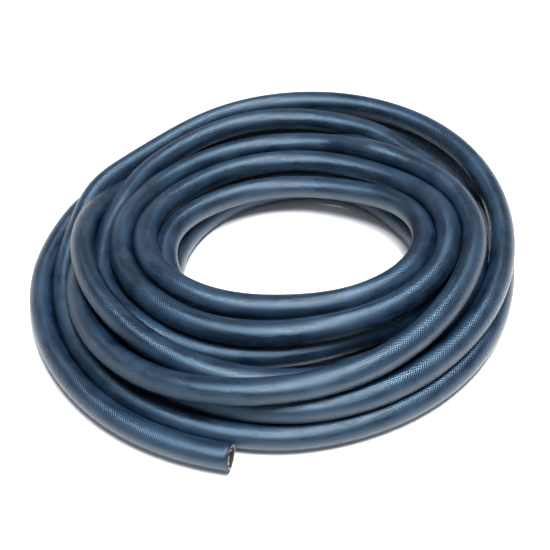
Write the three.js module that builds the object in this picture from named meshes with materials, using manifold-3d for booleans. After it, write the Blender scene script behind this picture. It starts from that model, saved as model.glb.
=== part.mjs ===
// A loose coil of braided rubber coolant hose, lying flat on the floor.
// The coiled turns are one turned ring, and the last stretch is a bored tube that lies against its
// outside and ends in a square cut. Millimetres, +Z up, the coil's axis is Z and the floor is Z = 0.
import * as THREE from "three";
import { mergeVertices } from "three/addons/utils/BufferGeometryUtils.js";
import Module from "manifold-3d";

const wasm = await Module();
wasm.setup();

// The hose, and the flat that the coil's weight presses on each turn that lies on the floor
const hose_diameter = 20;
const hose_bore = 13;
const pressed_flat = 0.4;

// The coil: the inmost turn's radius to the middle of the hose, and how many turns lie on the floor
const inmost_turn_radius = 96;
const floor_turns = 6;
const ring_segments = 40;

// How much of the hose's round is hidden in the groove between two turns that touch, and the widest
// angle of its round that one facet of the outline takes
const groove_angle = 20;
const facet_angle = 36;

// The free end, as bearings seen from above, anticlockwise from +X: where it comes out from under the
// coil's side, where it has come out, and where it is cut
const free_end_start = 128;
const free_end_out = 166;
const free_end_cut = 248;
const free_end_sides = 12;
const free_end_steps = 20;

// How far in from its outer lie the free end starts, and the gap that is kept between it and the ring
const start_depth = 16;
const clearance = 0.3;

const hose_radius = hose_diameter / 2;
const row_rise = hose_diameter * Math.sin(Math.PI / 3);
const outmost_turn_radius = inmost_turn_radius + (floor_turns - 1) * hose_diameter;
const free_end_radius = outmost_turn_radius + hose_diameter + clearance;
const floor_height = hose_radius - pressed_flat;

const radians = THREE.MathUtils.degToRad;
const degrees = THREE.MathUtils.radToDeg;

const straight_down = 270;
const half_flat_angle = degrees(Math.acos(floor_height / hose_radius));

const rubber = new THREE.MeshStandardMaterial({ color: 0x1e2c3e, roughness: 0.5, metalness: 0 });

// The middle of a turn's section: its place counted in hose widths from the inmost floor turn, and
// its row, counted up from the floor, where each row nests in the one below
function turn_middle(place, row) {
  return new THREE.Vector2(
    inmost_turn_radius + place * hose_diameter,
    floor_height + row * row_rise,
  );
}

// The turns that show round the stack's outline, from the inmost floor turn outwards, up the outside,
// over the top, where two turns of the third row stand apart, and down the inside
function outline_turns() {
  const turns = [];
  for (let place = 0; place < floor_turns; place += 1) {
    turns.push(turn_middle(place, 0));
  }
  const outer = floor_turns - 1;
  turns.push(turn_middle(outer - 0.5, 1));
  turns.push(turn_middle(outer - 1, 2));
  for (let place = outer - 1.5; place >= 1.5; place -= 1) {
    turns.push(turn_middle(place, 1));
  }
  turns.push(turn_middle(1, 2));
  turns.push(turn_middle(0, 2));
  turns.push(turn_middle(0.5, 1));
  return turns;
}

function bearing_between(from, to) {
  return degrees(Math.atan2(to.y - from.y, to.x - from.x));
}

// Adds the part of a turn's round that runs from one angle to another, as facets
function add_round(outline, middle, from_angle, to_angle) {
  const facets = Math.ceil((to_angle - from_angle) / facet_angle);
  for (let k = 0; k <= facets; k += 1) {
    const angle = radians(from_angle + ((to_angle - from_angle) * k) / facets);
    outline.push(
      new THREE.Vector2(
        middle.x + hose_radius * Math.cos(angle),
        middle.y + hose_radius * Math.sin(angle),
      ),
    );
  }
}

// The outline: the part of each turn's round that faces out, from the groove it shares with the turn
// before to the groove it shares with the turn after. A floor turn's round is broken by its flat.
function coil_outline() {
  const turns = outline_turns();
  const outline = [];
  turns.forEach((middle, i) => {
    const before = turns.at(i - 1);
    const after = turns[(i + 1) % turns.length];
    const start = bearing_between(middle, before) + groove_angle;
    let end = bearing_between(middle, after) - groove_angle;
    while (end <= start) {
      end += 360;
    }
    if (i < floor_turns) {
      const full_start = start < 0 ? start + 360 : start;
      const full_end = start < 0 ? end + 360 : end;
      add_round(outline, middle, full_start, straight_down - half_flat_angle);
      add_round(outline, middle, straight_down + half_flat_angle, full_end);
    } else {
      add_round(outline, middle, start, end);
    }
  });
  outline.push(outline[0].clone());
  return outline;
}

// The free end's route: it slides out from under the side, then lies along the coil to its cut
class FreeEndRoute extends THREE.Curve {
  getPoint(t, target = new THREE.Vector3()) {
    const bearing = free_end_start + t * (free_end_cut - free_end_start);
    const out = THREE.MathUtils.smoothstep(bearing, free_end_start, free_end_out);
    const radius = free_end_radius - start_depth * (1 - out);
    const angle = radians(bearing);
    return target.set(radius * Math.cos(angle), radius * Math.sin(angle), hose_radius);
  }
}

// A hose section whose flats lie at the given radius, one of them underneath
function hose_section(radius, sides) {
  const corner_radius = radius / Math.cos(Math.PI / sides);
  const corners = [];
  for (let k = 0; k < sides; k += 1) {
    const angle = ((k + 0.5) / sides) * 2 * Math.PI;
    corners.push(
      new THREE.Vector2(corner_radius * Math.cos(angle), corner_radius * Math.sin(angle)),
    );
  }
  return corners;
}

function swept(shape) {
  return new THREE.ExtrudeGeometry(shape, {
    steps: free_end_steps,
    extrudePath: new FreeEndRoute(),
  });
}

function as_solid(geometry) {
  geometry.deleteAttribute("normal");
  geometry.deleteAttribute("uv");
  const merged = mergeVertices(geometry, 1e-4);
  const vertProperties = new Float32Array(merged.attributes.position.array);
  const triVerts = new Uint32Array(merged.index.array);
  return new wasm.Manifold(new wasm.Mesh({ numProp: 3, vertProperties, triVerts }));
}

function as_geometry(solid) {
  const mesh = solid.getMesh();
  const geometry = new THREE.BufferGeometry();
  geometry.setAttribute("position", new THREE.BufferAttribute(mesh.vertProperties, mesh.numProp));
  geometry.setIndex(new THREE.BufferAttribute(mesh.triVerts, 1));
  geometry.computeVertexNormals();
  return geometry;
}

// The coil, with the bed that the free end lies in where it slides out from under the side
function make_hose_coil() {
  const ring = new THREE.LatheGeometry(coil_outline(), ring_segments);
  ring.rotateX(Math.PI / 2);
  const bed = swept(new THREE.Shape(hose_section(hose_radius + clearance, free_end_sides)));
  const solid = as_solid(ring).subtract(as_solid(bed));
  const mesh = new THREE.Mesh(as_geometry(solid), rubber);
  mesh.name = "hose_coil";
  return mesh;
}

// The free end, with its bore open at the cut
function make_hose_free_end() {
  const section = new THREE.Shape(hose_section(hose_radius, free_end_sides));
  section.holes.push(new THREE.Path(hose_section(hose_bore / 2, free_end_sides)));
  const mesh = new THREE.Mesh(swept(section), rubber);
  mesh.name = "hose_free_end";
  return mesh;
}

const hose = new THREE.Group();
hose.add(make_hose_coil(), make_hose_free_end());

// The origin is on the floor, at the middle of the coil and its free end together
const middle = new THREE.Box3().setFromObject(hose, true).getCenter(new THREE.Vector3());
hose.position.set(-middle.x, -middle.y, 0);
export default hose;
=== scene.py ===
import math
import random
import bpy
import numpy as np
from mathutils import Matrix, Vector


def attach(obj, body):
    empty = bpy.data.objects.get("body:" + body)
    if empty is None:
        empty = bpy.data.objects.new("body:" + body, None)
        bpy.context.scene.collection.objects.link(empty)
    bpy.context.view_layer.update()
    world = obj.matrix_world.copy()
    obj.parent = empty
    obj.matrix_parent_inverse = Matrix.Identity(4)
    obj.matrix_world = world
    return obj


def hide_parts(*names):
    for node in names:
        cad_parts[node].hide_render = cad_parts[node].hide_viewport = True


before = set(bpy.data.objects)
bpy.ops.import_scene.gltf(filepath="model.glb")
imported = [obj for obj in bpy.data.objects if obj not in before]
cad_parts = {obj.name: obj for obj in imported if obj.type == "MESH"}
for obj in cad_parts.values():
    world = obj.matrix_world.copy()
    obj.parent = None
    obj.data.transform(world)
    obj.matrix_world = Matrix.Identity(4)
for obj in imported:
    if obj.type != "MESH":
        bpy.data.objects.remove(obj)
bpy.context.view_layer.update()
scene = bpy.context.scene
scene.view_settings.view_transform = "Standard"
scene.view_settings.look = "None"

# Camera: it looks down on the coil from the front at about 44 degrees, from about 0.77 m, and leans
# a little to one side, as the turns' ovals do in the photograph.
camera_elevation = math.radians(43.7)
camera_azimuth = math.radians(-3.4)
camera_roll = math.radians(-4.65)
camera_distance = 0.7743
camera_across = -0.0103
camera_up = -0.0067
coil_axis = Vector((0.014, -0.006, 0.0))
forward = Vector((
    math.sin(camera_azimuth) * math.cos(camera_elevation),
    math.cos(camera_azimuth) * math.cos(camera_elevation),
    -math.sin(camera_elevation),
))
level = Vector((math.cos(camera_azimuth), -math.sin(camera_azimuth), 0.0))
upward = level.cross(forward)
right = math.cos(camera_roll) * level + math.sin(camera_roll) * upward
upright = math.cos(camera_roll) * upward - math.sin(camera_roll) * level
eye = coil_axis + right * camera_across + upright * camera_up - forward * camera_distance
camera_data = bpy.data.cameras.new("camera")
camera_data.sensor_width = 36.0
camera_data.lens = 58.08
camera_data.shift_x = 0.0005
camera_data.shift_y = 0.0038
camera_data.clip_start = 0.01
camera_data.clip_end = 50.0
camera = bpy.data.objects.new("camera", camera_data)
camera.matrix_world = Matrix((
    (right.x, upright.x, -forward.x, eye.x),
    (right.y, upright.y, -forward.y, eye.y),
    (right.z, upright.z, -forward.z, eye.z),
    (0.0, 0.0, 0.0, 1.0),
))
scene.collection.objects.link(camera)
scene.camera = camera

# The hose's route, in millimetres from the coil's axis: one row a turn, from the cut end inwards,
# clockwise seen from above. Each row is radius and height at eight bearings: the front, the front
# left, the left, the back left, the back, the back right, the right and the front right.
mm = 0.001
hose_radius = 10.0
bore_radius = 6.5
bearings_a_turn = 8
turn_rows = [
    [(195, 10), (201, 10), (204, 10), (200, 10), (217, 10), (214, 10), (181, 10), (183, 10)],
    [(183, 10), (192, 10), (194, 14), (191, 24), (220, 30), (208, 34), (182, 29), (175, 27)],
    [(177, 27), (170, 18), (158, 10), (137, 10), (142, 10), (153, 10), (163, 10), (161, 10)],
    [(143, 10), (146, 10), (137, 10), (116, 10), (119, 10), (133, 10), (145, 10), (134, 10)],
    [(113, 10), (105, 10), (98, 10), (94, 10), (97, 10), (116, 10), (127, 11), (108, 20)],
    [(98, 28), (100, 31), (102, 36), (86, 30), (81, 27), (90, 31), (121, 43), (106, 48)],
    [(91, 48), (104, 50), (118, 46), (112, 36), (117, 30), (120, 34), (140, 45), (128, 48)],
    [(119, 47), (126, 46), (138, 45), (140, 34), (147, 29), (142, 37), (151, 47), (158, 49)],
    [(172, 45), (177, 31), (175, 23), (156, 12), (164, 11), (150, 18), (140, 27), (128, 28)],
    [(120, 28), (139, 28), (163, 31), (168, 33), (188, 33), (158, 31), (160, 32), (154, 31)],
    [(155, 34), (156, 43), (168, 44), (179, 13), (190, 10), (180, 10), (166, 10), (150, 10)],
]
hidden_stretches = [(0.45, 0.75), (2.2, 4.05), (4.6, 5.1), (8.35, 8.85), (10.4, 11.0)]
first_turn = 0.0325
last_turn = 10.68
steps_a_turn = 96
hold_where_seen = 0.10
hold_where_hidden = 0.02
stations = np.array([pair for row in turn_rows for pair in row], dtype=float)
first_step = int(first_turn * steps_a_turn)
last_step = int(last_turn * steps_a_turn)
turn = np.arange(first_step, last_step + 1) / steps_a_turn
place = np.clip(turn * bearings_a_turn, 0, len(stations) - 1.001)
left_of = place.astype(int)
share = (place - left_of)[:, None]
p0 = stations[np.maximum(left_of - 1, 0)]
p1 = stations[left_of]
p2 = stations[left_of + 1]
p3 = stations[np.minimum(left_of + 2, len(stations) - 1)]
wanted = 0.5 * (
    2 * p1 + (p2 - p0) * share
    + (2 * p0 - 5 * p1 + 4 * p2 - p3) * share ** 2
    + (3 * p1 - p0 - 3 * p2 + p3) * share ** 3
)
hold = np.full(len(turn), hold_where_seen)
for start, end in hidden_stretches:
    hold[(turn > start) & (turn < end)] = hold_where_hidden
hold = hold[:, None]

# The turns settle on the floor and on one another: where two sections at one bearing are closer than
# the hose is wide they part, and the hose's own stiffness smooths the rest.
laying_rounds = 340
resting_rounds = 60
sag_a_round = 0.03
stiffness_laying = 0.25
stiffness_resting = 0.05
room_between = 0.1
settled = wanted.copy()
for settling_round in range(laying_rounds + resting_rounds):
    stiffness = stiffness_resting
    if settling_round < laying_rounds:
        stiffness = stiffness_laying
        settled += hold * (wanted - settled)
        settled[:, 1] -= sag_a_round
    settled[1:-1] += stiffness * (settled[:-2] + settled[2:] - 2 * settled[1:-1])
    for turns_apart in range(1, int(last_turn) + 1):
        gap_steps = turns_apart * steps_a_turn
        inner = settled[:-gap_steps]
        outer = settled[gap_steps:]
        apart = outer - inner
        distance = np.maximum(np.hypot(apart[:, 0], apart[:, 1]), 1e-3)[:, None]
        overlap = np.maximum(2 * hose_radius + room_between - distance, 0.0)
        push = overlap * 0.5 * apart / distance
        settled[:-gap_steps] -= push
        settled[gap_steps:] += push
    settled[:, 1] = np.maximum(settled[:, 1], hose_radius)

# The hose: one length of rubber tube with a braid in its wall, 20 mm outside and 13 mm in the bore,
# cut square at the front left. Its other end is hidden in the coil. Its outside is swept along the
# route in rings of even spacing, and swells and shrinks by a few hundredths of a millimetre.
ring_spacing = 4.0
long_swell = 0.004
short_swell = 0.003
sides = 24
front_bearing = 270
bearing = np.radians(front_bearing - 360 * turn)
course = np.stack([
    coil_axis.x / mm + settled[:, 0] * np.cos(bearing),
    coil_axis.y / mm + settled[:, 0] * np.sin(bearing),
    settled[:, 1],
], axis=-1)
run = np.concatenate([[0.0], np.cumsum(np.linalg.norm(np.diff(course, axis=0), axis=1))])
hose_length = run[-1]
slope = np.gradient(course, run, axis=0)
ring_count = int(hose_length / ring_spacing)
ring_at = np.linspace(0.0, hose_length, ring_count)
interval = np.clip(np.searchsorted(run, ring_at, side="right") - 1, 0, len(run) - 2)
span = (run[interval + 1] - run[interval])[:, None]
t = ((ring_at - run[interval])[:, None]) / span
centres = (
    (2 * t ** 3 - 3 * t ** 2 + 1) * course[interval]
    + (t ** 3 - 2 * t ** 2 + t) * span * slope[interval]
    + (3 * t ** 2 - 2 * t ** 3) * course[interval + 1]
    + (t ** 3 - t ** 2) * span * slope[interval + 1]
)
ring_turn = np.interp(ring_at, run, turn)
along = np.gradient(centres, axis=0)
along /= np.linalg.norm(along, axis=1, keepdims=True)
outward = np.cross(np.array([0.0, 0.0, 1.0]), along)
outward /= np.linalg.norm(outward, axis=1, keepdims=True)
skyward = np.cross(along, outward)

verts = []
faces = []
face_material = []
face_uv = []
around = np.arange(sides) * 2 * math.pi / sides
for i in range(ring_count):
    swell = 1 + long_swell * math.sin(ring_at[i] / 37.0) + short_swell * math.sin(ring_at[i] / 13.7 + 1.0)
    for angle in around:
        offset = outward[i] * math.cos(angle) + skyward[i] * math.sin(angle)
        verts.append((centres[i] + offset * hose_radius * swell) * mm)
for i in range(ring_count - 1):
    for k in range(sides):
        n = (k + 1) % sides
        faces.append((i * sides + k, (i + 1) * sides + k, (i + 1) * sides + n, i * sides + n))
        face_material.append(0)
        u0 = k / sides
        u1 = (k + 1) / sides
        v0 = ring_at[i] * mm
        v1 = ring_at[i + 1] * mm
        face_uv.append((u0, v0, u0, v1, u1, v1, u1, v0))

# The bore, and at each end the cut face that joins it to the outside, a little ragged
bore_sides = 12
bore_skip = 3
cut_radii = [9.3, 8.6, 7.9, 7.2, bore_radius]
ragged_angle = 0.04
ragged_depth = 0.35
bore_lip = 0.5
both_ends = ((0, -1.0), (ring_count - 1, 1.0))
bore_rings = list(range(0, ring_count, bore_skip))
if bore_rings[-1] != ring_count - 1:
    bore_rings.append(ring_count - 1)
chance = random.Random(7)
for end_ring, outwards in both_ends:
    rim = [end_ring * sides + k for k in range(sides)]
    for radius in cut_radii:
        ring = []
        for k in range(sides):
            angle = around[k] + chance.uniform(-ragged_angle, ragged_angle)
            offset = outward[end_ring] * math.cos(angle) + skyward[end_ring] * math.sin(angle)
            bulge = outwards * chance.uniform(-ragged_depth, ragged_depth)
            if radius == bore_radius:
                bulge -= outwards * bore_lip
            ring.append(len(verts))
            verts.append((centres[end_ring] + offset * radius + along[end_ring] * bulge) * mm)
        for k in range(sides):
            n = (k + 1) % sides
            quad = (rim[k], rim[n], ring[n], ring[k])
            faces.append(quad if outwards < 0 else quad[::-1])
            face_material.append(1)
            face_uv.append((0.0,) * 8)
        rim = ring
    if outwards < 0:
        first_rim = rim
    else:
        last_rim = rim
rows = []
for i in bore_rings:
    if i == 0:
        rows.append(first_rim)
        continue
    if i == ring_count - 1:
        rows.append(last_rim)
        continue
    row = []
    for k in range(0, sides, 2):
        offset = outward[i] * math.cos(around[k]) + skyward[i] * math.sin(around[k])
        row.append(len(verts))
        verts.append((centres[i] + offset * bore_radius) * mm)
    rows.append(row)
for a, b in zip(rows[:-1], rows[1:]):
    for k in range(bore_sides):
        n = (k + 1) % bore_sides
        if len(a) == sides:
            faces.append((a[2 * k], a[2 * k + 1], a[(2 * k + 2) % sides], b[n], b[k]))
        elif len(b) == sides:
            faces.append((a[k], a[n], b[(2 * k + 2) % sides], b[2 * k + 1], b[2 * k]))
        else:
            faces.append((a[k], a[n], b[n], b[k]))
        face_material.append(1)
        face_uv.append((0.0,) * (2 * len(faces[-1])))

# The braid's yarn ends, which stand out of the cut face at mid-wall: each is a tapered stub that
# leans one way or the other
yarn_count = 30
yarn_taper = 0.45
yarn_set_in = 0.3
for end_ring, outwards in both_ends:
    for k in range(yarn_count):
        angle = (k + chance.uniform(-0.3, 0.3)) * 2 * math.pi / yarn_count
        offset = outward[end_ring] * math.cos(angle) + skyward[end_ring] * math.sin(angle)
        side_on = skyward[end_ring] * math.cos(angle) - outward[end_ring] * math.sin(angle)
        end_on = along[end_ring] * outwards
        root = centres[end_ring] + offset * chance.uniform(8.0, 8.7) - end_on * yarn_set_in
        reach = chance.uniform(0.6, 1.8)
        lean = chance.uniform(-0.7, 0.7)
        width = chance.uniform(0.22, 0.4)
        spread = chance.uniform(-0.3, 0.5)
        tip = root + end_on * reach + side_on * lean * reach + offset * spread
        base = len(verts)
        for centre, wide in ((root, width), (tip, width * yarn_taper)):
            verts.append((centre + offset * wide) * mm)
            verts.append((centre + side_on * wide) * mm)
            verts.append((centre - offset * wide) * mm)
            verts.append((centre - side_on * wide) * mm)
        for q in range(4):
            n = (q + 1) % 4
            faces.append((base + q, base + n, base + 4 + n, base + 4 + q))
            face_material.append(2)
            face_uv.append((0.0,) * 8)
        faces.append((base + 4, base + 5, base + 6, base + 7))
        face_material.append(2)
        face_uv.append((0.0,) * 8)

# The mesh of the one piece: outside first, then cut faces and bore, then yarn
hose_mesh = bpy.data.meshes.new("hose")
hose_mesh.from_pydata([tuple(v) for v in verts], [], faces)
uv_layer = hose_mesh.uv_layers.new(name="around_and_along")
uv_layer.data.foreach_set("uv", [value for face in face_uv for value in face])
hose_mesh.polygons.foreach_set("material_index", face_material)
hose_mesh.polygons.foreach_set("use_smooth", [m != 2 for m in face_material])

# Dusty places, as stretches of the route: from turn, to turn, the angle round the hose where outward
# is 0 and up is 90, how wide in degrees, how strong
dusty = [
    (0.80, 1.08, 300, 50, 0.5),
    (1.62, 1.95, 330, 50, 0.7),
    (7.62, 7.98, 330, 50, 0.8),
    (6.80, 7.00, 320, 50, 0.5),
    (5.30, 5.75, 200, 50, 0.25),
    (4.10, 4.60, 180, 60, 0.12),
]
dust = np.zeros((ring_count, sides))
for start, end, angle, wide, strength in dusty:
    middle = (start + end) / 2
    along_share = np.clip(1.3 - np.abs(ring_turn - middle) / ((end - start) / 2), 0, 0.5) * 2
    off = np.abs((np.degrees(around) - angle + 180) % 360 - 180)
    dust += strength * along_share[:, None] * np.clip(1.2 - off / wide, 0, 1)[None]
dust = np.clip(dust, 0, 1).reshape(-1)
values = np.zeros(len(verts), dtype=np.float32)
values[:len(dust)] = dust
hose_mesh.attributes.new("dust", "FLOAT", "POINT").data.foreach_set("value", values)

# The rubber outside: blue-black, satin, with the imprint of the cloth it was cured in
rubber = bpy.data.materials.new("hose_rubber")
rubber.use_nodes = True
nodes = rubber.node_tree.nodes
links = rubber.node_tree.links
surface = nodes["Principled BSDF"]
surface.inputs["Specular IOR Level"].default_value = 0.90
uv_node = nodes.new("ShaderNodeUVMap")
uv_node.uv_map = "around_and_along"
parts = nodes.new("ShaderNodeSeparateXYZ")
links.new(uv_node.outputs["UV"], parts.inputs["Vector"])


def number_node(operation, first, second=None):
    node = nodes.new("ShaderNodeMath")
    node.operation = operation
    for socket, value in zip(node.inputs, (first, second)):
        if value is None:
            continue
        if isinstance(value, (int, float)):
            socket.default_value = value
        else:
            links.new(value, socket)
    return node.outputs["Value"]


# The cloth's imprint: slanting ribs about 2 mm apart, stronger one way than the other
strands_around = 30
rib_pitch = 0.0021
strand_angle = number_node("MULTIPLY", parts.outputs["X"], strands_around * 2 * math.pi)
strand_run = number_node("MULTIPLY", parts.outputs["Y"], 2 * math.pi / rib_pitch)
one_way = number_node("SINE", number_node("ADD", strand_angle, strand_run))
other_way = number_node("SINE", number_node("SUBTRACT", strand_angle, strand_run))
faint_ribs = number_node("MULTIPLY", one_way, 0.35)
plain_ribs = number_node("MULTIPLY", other_way, 0.65)
weave = number_node("ADD", faint_ribs, plain_ribs)

# The hose laid straight, so that wear runs along it without a seam
wear_stretch = 0.12
turned = number_node("MULTIPLY", parts.outputs["X"], 2 * math.pi)
straight = nodes.new("ShaderNodeCombineXYZ")
across = number_node("MULTIPLY", number_node("COSINE", turned), hose_radius * mm)
links.new(across, straight.inputs["X"])
upwards = number_node("MULTIPLY", number_node("SINE", turned), hose_radius * mm)
links.new(upwards, straight.inputs["Y"])
links.new(number_node("MULTIPLY", parts.outputs["Y"], wear_stretch), straight.inputs["Z"])
streaks = nodes.new("ShaderNodeTexNoise")
streaks.inputs["Scale"].default_value = 160.0
streaks.inputs["Detail"].default_value = 4.0
streaks.inputs["Roughness"].default_value = 0.6
links.new(straight.outputs["Vector"], streaks.inputs["Vector"])
position = nodes.new("ShaderNodeTexCoord").outputs["Object"]
waves = nodes.new("ShaderNodeTexNoise")
waves.inputs["Scale"].default_value = 45.0
waves.inputs["Detail"].default_value = 5.0
links.new(position, waves.inputs["Vector"])
grain = nodes.new("ShaderNodeTexNoise")
grain.inputs["Scale"].default_value = 1100.0
grain.inputs["Detail"].default_value = 2.0
links.new(position, grain.inputs["Vector"])
rib_relief = number_node("MULTIPLY", weave, 0.80)
grain_relief = number_node("MULTIPLY", grain.outputs["Fac"], 0.6)
relief = number_node("ADD", rib_relief, grain_relief)
bump = nodes.new("ShaderNodeBump")
bump.inputs["Strength"].default_value = 0.42
bump.inputs["Distance"].default_value = 0.0005
links.new(relief, bump.inputs["Height"])
links.new(bump.outputs["Normal"], surface.inputs["Normal"])

# Rubbed bluish bloom along the hose, and brown dust where the list above puts it
worn = number_node("ADD", streaks.outputs["Fac"], waves.outputs["Fac"])
bloom = nodes.new("ShaderNodeMapRange")
bloom.inputs["From Min"].default_value = 0.42
bloom.inputs["From Max"].default_value = 0.61
links.new(number_node("MULTIPLY", worn, 0.5), bloom.inputs["Value"])
tint = nodes.new("ShaderNodeMix")
tint.data_type = "RGBA"
tint.inputs["A"].default_value = (0.002, 0.007, 0.018, 1.0)
tint.inputs["B"].default_value = (0.013, 0.030, 0.058, 1.0)
links.new(bloom.outputs["Result"], tint.inputs["Factor"])
dust_node = nodes.new("ShaderNodeAttribute")
dust_node.attribute_name = "dust"
patchy = nodes.new("ShaderNodeMapRange")
patchy.inputs["From Min"].default_value = 0.42
patchy.inputs["From Max"].default_value = 0.62
links.new(streaks.outputs["Fac"], patchy.inputs["Value"])
dusted = nodes.new("ShaderNodeMix")
dusted.data_type = "RGBA"
dusted.inputs["B"].default_value = (0.17, 0.13, 0.10, 1.0)
links.new(tint.outputs["Result"], dusted.inputs["A"])
dust_here = number_node("MULTIPLY", dust_node.outputs["Fac"], patchy.outputs["Result"])
links.new(dust_here, dusted.inputs["Factor"])
links.new(dusted.outputs["Result"], surface.inputs["Base Color"])

# Its satin: a bluish sheen, duller in streaks, under a thin gloss that catches the ribs
surface.inputs["Specular Tint"].default_value = (0.46, 0.74, 1.0, 1.0)
rough = nodes.new("ShaderNodeMapRange")
rough.inputs["From Min"].default_value = 0.38
rough.inputs["From Max"].default_value = 0.66
rough.inputs["To Min"].default_value = 0.24
rough.inputs["To Max"].default_value = 0.40
links.new(streaks.outputs["Fac"], rough.inputs["Value"])
links.new(rough.outputs["Result"], surface.inputs["Roughness"])
surface.inputs["Coat Weight"].default_value = 0.25
surface.inputs["Coat Roughness"].default_value = 0.12
ribs = nodes.new("ShaderNodeBump")
ribs.inputs["Strength"].default_value = 0.35
ribs.inputs["Distance"].default_value = 0.00020
links.new(weave, ribs.inputs["Height"])
links.new(ribs.outputs["Normal"], surface.inputs["Coat Normal"])

# The cut rubber and the bore are matt and nearly black, and the braid's yarn is cream
cut_rubber = bpy.data.materials.new("cut_rubber")
cut_rubber.use_nodes = True
cut_surface = cut_rubber.node_tree.nodes["Principled BSDF"]
cut_surface.inputs["Base Color"].default_value = (0.012, 0.013, 0.016, 1.0)
cut_surface.inputs["Roughness"].default_value = 0.75

yarn = bpy.data.materials.new("braid_yarn")
yarn.use_nodes = True
yarn_surface = yarn.node_tree.nodes["Principled BSDF"]
yarn_surface.inputs["Base Color"].default_value = (0.60, 0.55, 0.44, 1.0)
yarn_surface.inputs["Roughness"].default_value = 0.9

for material in (rubber, cut_rubber, yarn):
    hose_mesh.materials.append(material)
hose = bpy.data.objects.new("hose", hose_mesh)
scene.collection.objects.link(hose)
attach(hose, "root")
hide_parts("hose_coil", "hose_free_end")

# The floor: plain and pale
floor_mesh = bpy.data.meshes.new("floor")
floor_mesh.from_pydata([(-4, -4, 0), (4, -4, 0), (4, 6, 0), (-4, 6, 0)], [], [(0, 1, 2, 3)])
floor_material = bpy.data.materials.new("floor")
floor_material.use_nodes = True
floor_surface = floor_material.node_tree.nodes["Principled BSDF"]
floor_surface.inputs["Base Color"].default_value = (0.90, 0.90, 0.90, 1.0)
floor_surface.inputs["Roughness"].default_value = 0.9
floor_surface.inputs["Specular IOR Level"].default_value = 0.1
floor_mesh.materials.append(floor_material)
floor = bpy.data.objects.new("floor", floor_mesh)
scene.collection.objects.link(floor)

# Light: a dim room, a wide pale light overhead and a little in front, and a small bright one above
# it. Both stand a little to the right.
world = bpy.data.worlds.new("room")
scene.world = world
world.use_nodes = True
world.node_tree.nodes["Background"].inputs["Color"].default_value = (0.90, 0.95, 1.0, 1.0)
world.node_tree.nodes["Background"].inputs["Strength"].default_value = 0.34
lights = [
    ("ceiling", (0.25, -0.36, 1.65), 0.65, 0.50, 44.0, (0.96, 0.98, 1.0)),
    ("high_light", (0.22, -0.05, 2.0), 0.25, 0.12, 22.0, (1.0, 1.0, 1.0)),
]
for name, place_of, wide, deep, power, colour in lights:
    light_data = bpy.data.lights.new(name, "AREA")
    light_data.shape = "RECTANGLE"
    light_data.size = wide
    light_data.size_y = deep
    light_data.energy = power
    light_data.color = colour
    light = bpy.data.objects.new(name, light_data)
    light.location = place_of
    light.rotation_mode = "QUATERNION"
    light.rotation_quaternion = (Vector((0, 0, 0.03)) - Vector(place_of)).to_track_quat("-Z", "Y")
    scene.collection.objects.link(light)
